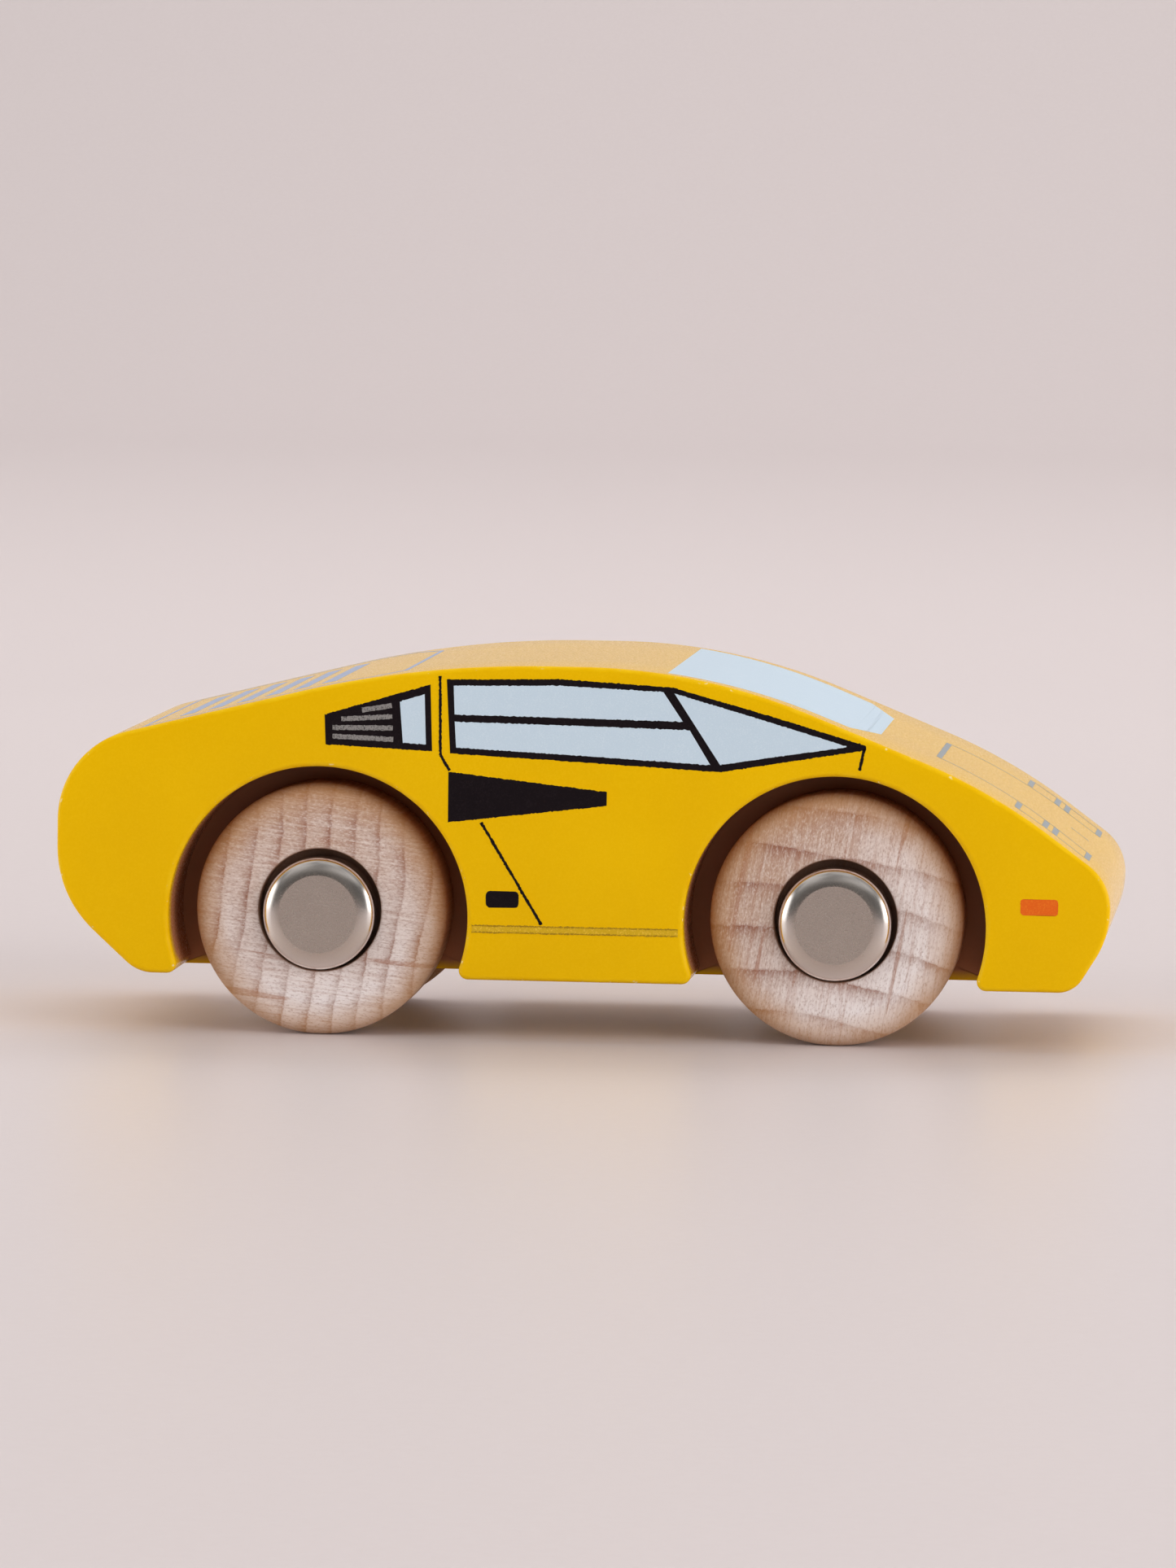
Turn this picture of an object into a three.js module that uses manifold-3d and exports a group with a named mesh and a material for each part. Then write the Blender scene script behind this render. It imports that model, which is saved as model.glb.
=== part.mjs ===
// Wooden toy car: a one-piece painted body on two loose steel axles. Four turned wheels run on
// the axle ends, held by push nuts under domed metal caps. Millimetres, nose towards +X, +Z up,
// left side towards +Y, origin on the floor under the middle of the car.

import * as THREE from "three";
import { mergeVertices, toCreasedNormals } from "three/addons/utils/BufferGeometryUtils.js";
import Module from "manifold-3d";

// Body block, heights measured from the floor
const REAR_OVERHANG = 22.9; // tail to rear axle
const WHEELBASE = 45;
const FRONT_OVERHANG = 23.8; // front axle to nose
const BODY_WIDTH = 38;
const GROUND_CLEARANCE = 5.35;
const EDGE_RADIUS = 0.8; // sanded edge round both side faces

// Side profile of the body: straight runs that meet at rounded corners
const TAIL_KICK_RUN = 7.15; // sloped underside behind the rear wheels
const TAIL_KICK_RISE = 6.55;
const TAIL_HEIGHT = 24.9;
const ROOF_HEIGHT = 32.75;
const ROOF_SETBACK = 8.7; // rear axle to the start of the roof
const ROOF_LENGTH = 24.55;
const BONNET_SETBACK = 10.35; // nose to the bend in the bonnet
const BONNET_HEIGHT = 22.65;
const NOSE_HEIGHT = 15;
const NOSE_TIP_HEIGHT = 10.3;
const CHIN_RUN = 3.05;
const TAIL_KICK_RADIUS = 3.45;
const TAIL_LOWER_RADIUS = 9.8;
const TAIL_UPPER_RADIUS = 8;
const DECK_RADIUS = 90;
const ROOF_RADIUS = 54;
const BONNET_RADIUS = 53;
const NOSE_RADIUS = 4.75;
const NOSE_TIP_RADIUS = 8.8;
const CHIN_RADIUS = 2.5;

// Wheels, and the blind round pockets that they run in
const WHEEL_RADIUS = 11;
const WHEEL_WIDTH = 7.2;
const WHEEL_RECESS = 1.85; // wheel face behind the body's side
const WHEEL_FACE_ROUND = 2;
const WHEEL_BACK_ROUND = 1;
const COUNTERBORE_DEPTH = 2.8;
const COUNTERBORE_LIP = 0.25; // small chamfer at its mouth
const ARCH_GAP = 2.1; // wheel tread to pocket wall
const ARCH_MOUTH_RADIUS = 0.6; // sanded edge of the pocket
const WHEEL_SIDE_PLAY = 0.4; // wheel back to pocket floor

// Axles and the capped push nuts on their ends
const AXLE_RADIUS = 2;
const AXLE_CHAMFER = 0.4;
const AXLE_END_GAP = 0.5; // axle end to the inside of the cap
const CAP_RADIUS = 4.9;
const CAP_HEIGHT = 4.1;
const CAP_WALL = 0.45;
const CAP_EDGE_ROUND = 1.25;
const CAP_LIP_REACH = 0.9; // rim curled in under the push nut
const CAP_GAP = 0.57; // cap to counterbore wall
const CAP_SIDE_PLAY = 0.35; // cap rim to counterbore floor
const NUT_THICKNESS = 0.4;
const NUT_ROOT_WIDTH = 0.85; // plain ring outside the tongues
const TONGUE_COUNT = 6;
const TONGUE_SLOT_WIDTH = 0.7;
const TONGUE_RISE = 0.5; // tongue tips bent up along the axle

// Fits: the car is loose enough that the body hangs on the axles and the axles on the wheels
const SEAT_GAP = 0.3; // left between surfaces that rest on each other
const WHEEL_BORE_CLEARANCE = 0.54;
const BODY_HOLE_CLEARANCE = 0.5;

// Facets
const ARC_STEPS = 6;
const EDGE_STEPS = 3;
const ROUND_STEPS = 3;
const WHEEL_SIDES = 48;
const POCKET_SIDES = 60;
const CAP_SIDES = 32;
const AXLE_SIDES = 28;
const TONGUE_STEPS = 2;

// Places that follow from the sizes above
const LENGTH = REAR_OVERHANG + WHEELBASE + FRONT_OVERHANG;
const TAIL_X = -LENGTH / 2;
const NOSE_X = LENGTH / 2;
const REAR_AXLE_X = TAIL_X + REAR_OVERHANG;
const FRONT_AXLE_X = NOSE_X - FRONT_OVERHANG;
const SIDE_Y = BODY_WIDTH / 2;
const WHEEL_BACK_Y = SIDE_Y - WHEEL_RECESS - WHEEL_WIDTH;
const POCKET_FLOOR_Y = WHEEL_BACK_Y - WHEEL_SIDE_PLAY;
const POCKET_RADIUS = WHEEL_RADIUS + ARCH_GAP;
const CAP_RIM_Y = SIDE_Y - WHEEL_RECESS - COUNTERBORE_DEPTH + CAP_SIDE_PLAY;
const CAP_INNER_RADIUS = CAP_RADIUS - CAP_WALL;
const AXLE_END_Y = CAP_RIM_Y + CAP_HEIGHT - CAP_WALL - AXLE_END_GAP;
const NUT_Y = CAP_RIM_Y + CAP_WALL + SEAT_GAP;
const NUT_RADIUS = CAP_INNER_RADIUS - SEAT_GAP;
const WHEEL_BORE_RADIUS = AXLE_RADIUS + WHEEL_BORE_CLEARANCE;
const BODY_HOLE_RADIUS = AXLE_RADIUS + BODY_HOLE_CLEARANCE;
const WHEEL_Z = WHEEL_RADIUS;
const AXLE_Z = WHEEL_Z - (WHEEL_BORE_CLEARANCE - SEAT_GAP);
const BODY_HOLE_Z = AXLE_Z - (BODY_HOLE_CLEARANCE - SEAT_GAP);

const PAINT = new THREE.MeshStandardMaterial({ color: 0xe4af05, roughness: 0.4, metalness: 0 });
const BEECH = new THREE.MeshStandardMaterial({ color: 0xcfa98d, roughness: 0.65, metalness: 0 });
const NICKEL = new THREE.MeshStandardMaterial({ color: 0xb9b0a6, roughness: 0.25, metalness: 1 });
const STEEL = new THREE.MeshStandardMaterial({ color: 0x8f8f92, roughness: 0.4, metalness: 1 });

const wasm = await Module();
wasm.setup();

// Solid for joining and cutting, from a closed geometry
function toSolid(geometry) {
  const bare = geometry.clone();
  bare.deleteAttribute("normal");
  bare.deleteAttribute("uv");
  const merged = mergeVertices(bare, 1e-4);
  const corners = merged.index.array;
  const triangles = [];
  for (let i = 0; i < corners.length; i += 3) {
    const [a, b, c] = corners.slice(i, i + 3);
    if (a !== b && b !== c && c !== a) {
      triangles.push(a, b, c);
    }
  }
  return new wasm.Manifold(new wasm.Mesh({
    numProp: 3,
    vertProperties: new Float32Array(merged.attributes.position.array),
    triVerts: new Uint32Array(triangles),
  }));
}

// Geometry of a finished solid, shaded smooth except across its edges
function toGeometry(solid) {
  const mesh = solid.getMesh();
  const geometry = new THREE.BufferGeometry();
  geometry.setAttribute("position", new THREE.BufferAttribute(mesh.vertProperties, 3));
  geometry.setIndex(new THREE.BufferAttribute(mesh.triVerts, 1));
  return toCreasedNormals(geometry, Math.PI / 6);
}

// Closed outline through corners { x, y, radius }, each rounded by an arc that fits its two runs
function roundedOutline(corners) {
  const shape = new THREE.Shape();
  corners.forEach((corner, i) => {
    const point = new THREE.Vector2(corner.x, corner.y);
    const before = corners.at(i - 1);
    const after = corners[(i + 1) % corners.length];
    const back = new THREE.Vector2(before.x, before.y).sub(point);
    const ahead = new THREE.Vector2(after.x, after.y).sub(point);
    const halfAngle = Math.abs(back.angleTo(ahead)) / 2;
    const room = Math.min(back.length(), ahead.length()) / 2;
    const reach = Math.min(corner.radius / Math.tan(halfAngle), room);
    const radius = reach * Math.tan(halfAngle);
    back.normalize();
    ahead.normalize();
    const inward = back.clone().add(ahead).normalize();
    const centre = inward.multiplyScalar(radius / Math.sin(halfAngle)).add(point);
    const start = point.clone().addScaledVector(back, reach).sub(centre);
    const end = point.clone().addScaledVector(ahead, reach).sub(centre);
    shape.absarc(centre.x, centre.y, radius, start.angle(), end.angle(), start.cross(end) < 0);
  });
  shape.closePath();
  return shape;
}

// Points [radius, y] of an arc, angles in quarter turns from the direction of growing radius
function arc(centreRadius, centreY, radius, from, to) {
  return Array.from({ length: ROUND_STEPS + 1 }, (_, i) => {
    const angle = THREE.MathUtils.lerp(from, to, i / ROUND_STEPS) * Math.PI / 2;
    return [centreRadius + radius * Math.cos(angle), centreY + radius * Math.sin(angle)];
  });
}

// Profile of [radius, y] points turned about the Y axis, which is the axles' direction
function turned(profile, sides) {
  return new THREE.LatheGeometry(profile.map(([radius, y]) => new THREE.Vector2(radius, y)), sides);
}

// Plain round bar between two y values
function bar(radius, low, high, sides) {
  return turned([[0, low], [radius, low], [radius, high], [0, high]], sides);
}

// Body: the side profile cut from a plank, edges rounded, with wheel pockets and axle holes
function bodyGeometry() {
  const profile = roundedOutline([
    { x: TAIL_X + TAIL_KICK_RUN, y: GROUND_CLEARANCE, radius: TAIL_KICK_RADIUS },
    { x: TAIL_X, y: GROUND_CLEARANCE + TAIL_KICK_RISE, radius: TAIL_LOWER_RADIUS },
    { x: TAIL_X, y: TAIL_HEIGHT, radius: TAIL_UPPER_RADIUS },
    { x: REAR_AXLE_X + ROOF_SETBACK, y: ROOF_HEIGHT, radius: DECK_RADIUS },
    { x: REAR_AXLE_X + ROOF_SETBACK + ROOF_LENGTH, y: ROOF_HEIGHT, radius: ROOF_RADIUS },
    { x: NOSE_X - BONNET_SETBACK, y: BONNET_HEIGHT, radius: BONNET_RADIUS },
    { x: NOSE_X, y: NOSE_HEIGHT, radius: NOSE_RADIUS },
    { x: NOSE_X, y: NOSE_TIP_HEIGHT, radius: NOSE_TIP_RADIUS },
    { x: NOSE_X - CHIN_RUN, y: GROUND_CLEARANCE, radius: CHIN_RADIUS },
  ]);
  const plank = new THREE.ExtrudeGeometry(profile, {
    depth: BODY_WIDTH - 2 * EDGE_RADIUS,
    curveSegments: ARC_STEPS,
    bevelSize: EDGE_RADIUS,
    bevelOffset: -EDGE_RADIUS,
    bevelThickness: EDGE_RADIUS,
    bevelSegments: EDGE_STEPS,
  });
  plank.rotateX(Math.PI / 2);
  plank.translate(0, SIDE_Y - EDGE_RADIUS, 0);
  let solid = toSolid(plank);

  const outside = SIDE_Y + EDGE_RADIUS;
  const pocketProfile = [
    [0, POCKET_FLOOR_Y],
    [POCKET_RADIUS, POCKET_FLOOR_Y],
    ...arc(POCKET_RADIUS + ARCH_MOUTH_RADIUS, SIDE_Y - ARCH_MOUTH_RADIUS, ARCH_MOUTH_RADIUS, 2, 1),
    [POCKET_RADIUS + ARCH_MOUTH_RADIUS, outside],
    [0, outside],
  ];
  for (const axleX of [REAR_AXLE_X, FRONT_AXLE_X]) {
    for (const turn of [0, Math.PI]) {
      const pocket = turned(pocketProfile, POCKET_SIDES);
      pocket.rotateZ(turn);
      pocket.translate(axleX, 0, BODY_HOLE_Z);
      solid = solid.subtract(toSolid(pocket));
    }
    const hole = bar(BODY_HOLE_RADIUS, -SIDE_Y, SIDE_Y, AXLE_SIDES);
    hole.translate(axleX, 0, BODY_HOLE_Z);
    solid = solid.subtract(toSolid(hole));
  }
  return toGeometry(solid);
}

// Axle: cut steel rod with chamfered ends
function axleGeometry() {
  return turned([
    [0, -AXLE_END_Y],
    [AXLE_RADIUS - AXLE_CHAMFER, -AXLE_END_Y],
    [AXLE_RADIUS, -AXLE_END_Y + AXLE_CHAMFER],
    [AXLE_RADIUS, AXLE_END_Y - AXLE_CHAMFER],
    [AXLE_RADIUS - AXLE_CHAMFER, AXLE_END_Y],
    [0, AXLE_END_Y],
  ], AXLE_SIDES);
}

// Wheel: turned disc with rounded edges, bored for the axle and counterbored for the cap
function wheelGeometry() {
  const back = WHEEL_BACK_Y;
  const face = back + WHEEL_WIDTH;
  const counterbore = CAP_RADIUS + CAP_GAP;
  return turned([
    [WHEEL_BORE_RADIUS, back],
    ...arc(WHEEL_RADIUS - WHEEL_BACK_ROUND, back + WHEEL_BACK_ROUND, WHEEL_BACK_ROUND, -1, 0),
    ...arc(WHEEL_RADIUS - WHEEL_FACE_ROUND, face - WHEEL_FACE_ROUND, WHEEL_FACE_ROUND, 0, 1),
    [counterbore + COUNTERBORE_LIP, face],
    [counterbore, face - COUNTERBORE_LIP],
    [counterbore, face - COUNTERBORE_DEPTH],
    [WHEEL_BORE_RADIUS, face - COUNTERBORE_DEPTH],
    [WHEEL_BORE_RADIUS, back],
  ], WHEEL_SIDES);
}

// Hub cap: drawn sheet-metal cup, open towards the wheel, with its rim curled in
function capGeometry() {
  const top = CAP_RIM_Y + CAP_HEIGHT;
  const bend = CAP_RADIUS - CAP_EDGE_ROUND;
  const innerRound = CAP_EDGE_ROUND - CAP_WALL;
  const lip = CAP_INNER_RADIUS - CAP_LIP_REACH;
  return turned([
    [0, top - CAP_WALL],
    ...arc(bend, top - CAP_EDGE_ROUND, innerRound, 1, 0),
    [CAP_INNER_RADIUS, CAP_RIM_Y + CAP_WALL],
    [lip, CAP_RIM_Y + CAP_WALL],
    [lip, CAP_RIM_Y],
    ...arc(CAP_INNER_RADIUS, CAP_RIM_Y + CAP_WALL, CAP_WALL, -1, 0),
    ...arc(bend, top - CAP_EDGE_ROUND, CAP_EDGE_ROUND, 0, 1),
    [0, top],
  ], CAP_SIDES);
}

// Push nut: spring washer whose slots leave tongues, bent up so that they bite on the axle
function nutGeometry() {
  const tip = AXLE_RADIUS + SEAT_GAP;
  const root = NUT_RADIUS - NUT_ROOT_WIDTH;
  const pitch = 2 * Math.PI / TONGUE_COUNT;
  const slotAtTip = Math.asin(TONGUE_SLOT_WIDTH / 2 / tip);
  const slotAtRoot = Math.asin(TONGUE_SLOT_WIDTH / 2 / root);
  const washer = new THREE.Shape();
  const star = new THREE.Path();
  for (let i = 0; i < TONGUE_COUNT; i += 1) {
    const slot = i * pitch;
    washer.absarc(0, 0, NUT_RADIUS, slot, slot + pitch);
    star.absarc(0, 0, root, slot - slotAtRoot, slot + slotAtRoot);
    star.absarc(0, 0, tip, slot + slotAtTip, slot + pitch - slotAtTip);
  }
  star.closePath();
  washer.holes.push(star);
  const geometry = new THREE.ExtrudeGeometry(washer, {
    depth: NUT_THICKNESS,
    curveSegments: TONGUE_STEPS,
    bevelEnabled: false,
  });
  const place = geometry.attributes.position;
  for (let i = 0; i < place.count; i += 1) {
    const radius = Math.hypot(place.getX(i), place.getY(i));
    const bent = THREE.MathUtils.clamp((root - radius) / (root - tip), 0, 1);
    place.setZ(i, place.getZ(i) + TONGUE_RISE * bent);
  }
  geometry.rotateX(-Math.PI / 2);
  geometry.translate(0, NUT_Y, 0);
  geometry.computeVertexNormals();
  return geometry;
}

function named(name, geometry, material) {
  const mesh = new THREE.Mesh(geometry, material);
  mesh.name = name;
  return mesh;
}

const car = new THREE.Group();
car.add(named("car_body", bodyGeometry(), PAINT));

for (const [end, axleX] of [["front", FRONT_AXLE_X], ["rear", REAR_AXLE_X]]) {
  const axle = named(`${end}_axle`, axleGeometry(), STEEL);
  axle.position.set(axleX, 0, AXLE_Z);
  car.add(axle);
  for (const [side, turn] of [["left", 0], ["right", Math.PI]]) {
    const wheel = named(`${end}_${side}_wheel`, wheelGeometry(), BEECH);
    wheel.position.set(axleX, 0, WHEEL_Z);
    wheel.rotation.z = turn;
    const axleEnd = new THREE.Group();
    axleEnd.position.set(axleX, 0, AXLE_Z);
    axleEnd.rotation.z = turn;
    axleEnd.add(named(`${end}_${side}_hub_cap`, capGeometry(), NICKEL));
    axleEnd.add(named(`${end}_${side}_push_nut`, nutGeometry(), STEEL));
    car.add(wheel, axleEnd);
  }
}

export default car;
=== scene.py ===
# A palm-size wooden toy car: a painted block body with printed windows, turned beech wheels on
# loose steel axles, and domed caps over push nuts. Meshes are worked out in millimetres and put
# into the frame in metres, nose towards +X, left side towards +Y, standing on the floor at Z 0.

import bmesh
import bpy
import numpy as np
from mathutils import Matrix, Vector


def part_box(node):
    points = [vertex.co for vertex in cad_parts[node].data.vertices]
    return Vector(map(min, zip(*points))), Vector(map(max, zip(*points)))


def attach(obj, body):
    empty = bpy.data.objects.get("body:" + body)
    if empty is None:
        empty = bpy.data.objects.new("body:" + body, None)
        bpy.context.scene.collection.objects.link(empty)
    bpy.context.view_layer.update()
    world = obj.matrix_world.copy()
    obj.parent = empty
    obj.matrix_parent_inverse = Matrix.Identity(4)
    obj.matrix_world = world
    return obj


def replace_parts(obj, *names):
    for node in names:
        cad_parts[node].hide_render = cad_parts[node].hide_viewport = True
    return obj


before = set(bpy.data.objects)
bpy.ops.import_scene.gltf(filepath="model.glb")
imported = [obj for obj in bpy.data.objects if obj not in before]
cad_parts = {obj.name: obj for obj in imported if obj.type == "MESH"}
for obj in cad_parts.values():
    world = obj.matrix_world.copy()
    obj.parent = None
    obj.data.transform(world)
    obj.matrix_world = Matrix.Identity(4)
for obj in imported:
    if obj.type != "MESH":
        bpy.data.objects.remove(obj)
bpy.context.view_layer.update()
MM = 0.001


# Body block
# One piece of wood sawn to the side profile, bored with four blind wheel pockets and two axle
# holes, sanded round its edges and sprayed with satin yellow paint.

INK_ROOM = 0.04  # kept on each side face for the film of ink


def box_mm(node):
    """Lowest and highest corner of a node of the frame, in millimetres."""
    low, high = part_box(node)
    return np.array(low) / MM, np.array(high) / MM


body_low, body_high = box_mm("car_body")
tail, nose = body_low[0], body_high[0]
belly, roof = body_low[2], body_high[2]
side = body_high[1] - INK_ROOM
wheel_low, wheel_high = box_mm("front_left_wheel")
wheel_radius = (wheel_high[2] - wheel_low[2]) / 2
front_x = (wheel_low[0] + wheel_high[0]) / 2
rear_low, rear_high = box_mm("rear_left_wheel")
rear_x = (rear_low[0] + rear_high[0]) / 2
axle_low, axle_high = box_mm("front_axle")
axle_radius = (axle_high[2] - axle_low[2]) / 2
axle_z = (axle_low[2] + axle_high[2]) / 2

HOLE_DROP = 0.2  # the body hangs on its axles
HOLE_CLEARANCE = 0.5
ARCH_GAP = 2.1
WHEEL_SIDE_PLAY = 0.4
EDGE_RADIUS = 0.42
ARCH_EDGE_RADIUS = 0.45
TIP_RADIUS = 0.8
# Painted shade: over the next rise into a pocket its wall turns dark brown in the paint.
POCKET_SHADE_RISE = 1.5  # over this rise into a pocket the spray stops reaching its wall
hole_z = axle_z - HOLE_DROP
hole_radius = axle_radius + HOLE_CLEARANCE
pocket_radius = wheel_radius + ARCH_GAP
pocket_floor = wheel_low[1] - WHEEL_SIDE_PLAY

TAIL_KICK_RUN, TAIL_KICK_RISE = 7.15, 6.55
TAIL_HEIGHT = 24.9
ROOF_SETBACK, ROOF_LENGTH = 8.7, 24.55
BONNET_SETBACK, BONNET_HEIGHT = 10.35, 22.65
NOSE_HEIGHT, NOSE_TIP_HEIGHT = 15.0, 10.3
CHIN_RUN = 3.05
roof_start = rear_x + ROOF_SETBACK
# Each corner of the side profile: its place along the car, its height and the radius of its bend
PROFILE_CORNERS = np.array([
    (tail + TAIL_KICK_RUN, belly, 3.45),
    (tail, belly + TAIL_KICK_RISE, 9.8),
    (tail, TAIL_HEIGHT, 8.0),
    (roof_start, roof, 90.0),
    (roof_start + ROOF_LENGTH, roof, 54.0),
    (nose - BONNET_SETBACK, BONNET_HEIGHT, 53.0),
    (nose, NOSE_HEIGHT, 4.75),
    (nose, NOSE_TIP_HEIGHT, 8.8),
    (nose - CHIN_RUN, belly, 2.5),
])


def unit(vectors):
    """Each vector divided by its own length."""
    return vectors / np.linalg.norm(vectors, axis=-1, keepdims=True)


def arc(centre, radius, start, end, steps=24):
    """Points on a circle from one angle to another, in equal steps; two radii make an ellipse."""
    angle = np.linspace(start, end, steps + 1)
    return np.asarray(centre) + radius * np.stack([np.cos(angle), np.sin(angle)], axis=1)


def rounded(corners):
    """Straight runs between corners (x, z, radius), with an arc at each that touches both runs.
    The arc's centre lies on the corner's bisector, at radius over the sine of the half angle."""
    point, radius = corners[:, :2], corners[:, 2]
    back = np.roll(point, 1, axis=0) - point
    ahead = np.roll(point, -1, axis=0) - point
    room = np.minimum(np.linalg.norm(back, axis=1), np.linalg.norm(ahead, axis=1)) / 2
    back, ahead = unit(back), unit(ahead)
    half = np.arccos(np.sum(back * ahead, axis=1)) / 2
    reach = np.minimum(radius / np.tan(half), room)
    radius = reach * np.tan(half)
    centre = point + unit(back + ahead) * (radius / np.sin(half))[:, None]
    first = point + back * reach[:, None] - centre
    last = point + ahead * reach[:, None] - centre
    start = np.arctan2(first[:, 1], first[:, 0])
    sweep = (np.arctan2(last[:, 1], last[:, 0]) - start + np.pi) % (2 * np.pi) - np.pi
    return np.concatenate([
        arc(c, r, a, a + s) for c, r, a, s in zip(centre, radius, start, sweep)
    ])


def spaced(points, step):
    """Points at equal distances along a polyline, both ends kept."""
    run = np.cumsum(np.linalg.norm(np.diff(points, axis=0, prepend=points[:1]), axis=1))
    at = np.linspace(0, run[-1], max(2, round(run[-1] / step) + 1))
    return np.stack([np.interp(at, run, points[:, k]) for k in range(2)], axis=1)


def arch_edge(centre_x):
    """A wheel pocket in the side profile: a round tip, the bored wall over the wheel, a round tip.
    Each tip is an arc that touches the underside and the outside of the pocket's circle."""
    lift = belly + TIP_RADIUS - hole_z
    reach = np.sqrt((pocket_radius + TIP_RADIUS) ** 2 - lift ** 2)
    lean = np.arctan2(lift, reach)
    right = arc((centre_x + reach, belly + TIP_RADIUS), TIP_RADIUS, -np.pi / 2, lean - np.pi)
    wall = arc((centre_x, hole_z), pocket_radius, lean, np.pi - lean, 120)
    left = arc((centre_x - reach, belly + TIP_RADIUS), TIP_RADIUS, -lean, -np.pi / 2)
    return np.concatenate([right, wall[1:], left[1:]])


LOOP_STEP = 0.22
upper = spaced(rounded(PROFILE_CORNERS), LOOP_STEP)
front_arch = spaced(arch_edge(front_x), LOOP_STEP)
rear_arch = spaced(arch_edge(rear_x), LOOP_STEP)
runs = [
    upper,
    spaced(np.array([upper[-1], front_arch[0]]), LOOP_STEP),
    front_arch,
    spaced(np.array([front_arch[-1], rear_arch[0]]), LOOP_STEP),
    rear_arch,
    spaced(np.array([rear_arch[-1], upper[0]]), LOOP_STEP),
]
run_start = np.cumsum([0] + [len(run) - 1 for run in runs])
loop = np.concatenate([run[:-1] for run in runs])
arch_spans = [(run_start[2], run_start[3]), (run_start[4], run_start[5])]


def quads(rows, cols, wrap=False):
    """Corner numbers of a grid's faces; wrap joins the last column to the first."""
    number = np.arange(rows * cols).reshape(rows, cols)
    if wrap:
        number = np.hstack([number, number[:, :1]])
    faces = np.stack([number[:-1, :-1], number[1:, :-1], number[1:, 1:], number[:-1, 1:]], axis=-1)
    return faces.reshape(-1, 4)


def smooth_noise(count, lumps, seed):
    """A closed wavy line between about -1 and 1: cosines of random phase, weaker as they shorten."""
    rng = np.random.default_rng(seed)
    angle = np.linspace(0, 2 * np.pi, count, endpoint=False)
    wave = np.arange(1, lumps + 1)
    height = rng.normal(size=lumps) / np.sqrt(wave)
    line = np.cos(wave * angle[:, None] + rng.uniform(0, 2 * np.pi, lumps)) @ height
    return line / np.abs(line).max()


WELD_DISTANCE = 0.001
CREASE_ANGLE = np.radians(32)  # sharper edges than this stay crisp


def piece(name, patches, material, body, marks=None):
    """One closed mesh from patches of (points in millimetres, faces), welded where edges meet.
    marks gives each point a number that the material reads as the attribute mark."""
    points = np.concatenate([p.reshape(-1, 3) for p, _ in patches])
    first = np.cumsum([0] + [p.size // 3 for p, _ in patches])
    faces = [[int(i) + start for i in face] for (_, f), start in zip(patches, first) for face in f]
    mesh = bpy.data.meshes.new(name)
    mesh.from_pydata((points * MM).tolist(), [], faces)
    if marks is not None:
        layer = mesh.attributes.new("mark", "FLOAT", "POINT")
        layer.data.foreach_set("value", np.concatenate([np.ravel(m) for m in marks]))
    work = bmesh.new()
    work.from_mesh(mesh)
    bmesh.ops.remove_doubles(work, verts=work.verts, dist=WELD_DISTANCE * MM)
    bmesh.ops.recalc_face_normals(work, faces=work.faces)
    work.to_mesh(mesh)
    work.free()
    round_face = [len(face.vertices) <= 4 for face in mesh.polygons]
    mesh.polygons.foreach_set("use_smooth", round_face)
    mesh.set_sharp_from_angle(angle=CREASE_ANGLE)
    mesh.materials.append(material)
    thing = bpy.data.objects.new(name, mesh)
    bpy.context.scene.collection.objects.link(thing)
    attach(thing, body)
    return thing


def finish(name, colour, roughness, metallic=0.0):
    """A material with one Principled shader; returns it with its node tree and the shader."""
    material = bpy.data.materials.new(name)
    material.use_nodes = True
    shader = material.node_tree.nodes["Principled BSDF"]
    shader.inputs["Base Color"].default_value = (*colour, 1)
    shader.inputs["Roughness"].default_value = roughness
    shader.inputs["Metallic"].default_value = metallic
    return material, material.node_tree, shader


def add(tree, kind, inputs=None, **settings):
    """A node of the tree, its inputs set to values or joined to other nodes' outputs."""
    made = tree.nodes.new("ShaderNode" + kind)
    for key, value in settings.items():
        setattr(made, key, value)
    for key, value in (inputs or {}).items():
        if isinstance(value, bpy.types.NodeSocket):
            tree.links.new(value, made.inputs[key])
        else:
            made.inputs[key].default_value = value
    return made


def stretched(tree, scale):
    """Object coordinates, scaled by a different factor along each axis."""
    place = add(tree, "TexCoord").outputs["Object"]
    return add(tree, "Mapping", {"Vector": place, "Scale": scale}).outputs[0]


def noise(tree, vector, scale, detail, rough=0.5):
    """Smooth noise of about 0 to 1 at the given number of lumps a metre."""
    inputs = {"Vector": vector, "Scale": scale, "Detail": detail, "Roughness": rough}
    return add(tree, "TexNoise", inputs).outputs["Fac"]


def remap(tree, value, low, high, to_low=0.0, to_high=1.0):
    """A value's range carried to another range and held at its ends."""
    inputs = {"Value": value, 1: low, 2: high, 3: to_low, 4: to_high}
    return add(tree, "MapRange", inputs).outputs[0]


def blend(tree, amount, first, second):
    """Colour between two colours, by an amount from 0 to 1."""
    made = add(tree, "Mix", {0: amount, 6: first, 7: second}, data_type="RGBA")
    return made.outputs[2]


def bump(tree, shader, height, distance):
    """Fine relief of the given depth in metres, from a height of 0 to 1."""
    made = add(tree, "Bump", {"Height": height, "Strength": 1.0, "Distance": distance})
    tree.links.new(made.outputs[0], shader.inputs["Normal"])


def calc(tree, operation, *values):
    """One arithmetic step on numbers or outputs."""
    return add(tree, "Math", dict(enumerate(values)), operation=operation).outputs[0]


def weigh(tree, share, first, second):
    """A share of one number and the rest of another."""
    return add(tree, "Mix", {0: share, 2: second, 3: first}).outputs[0]


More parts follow.
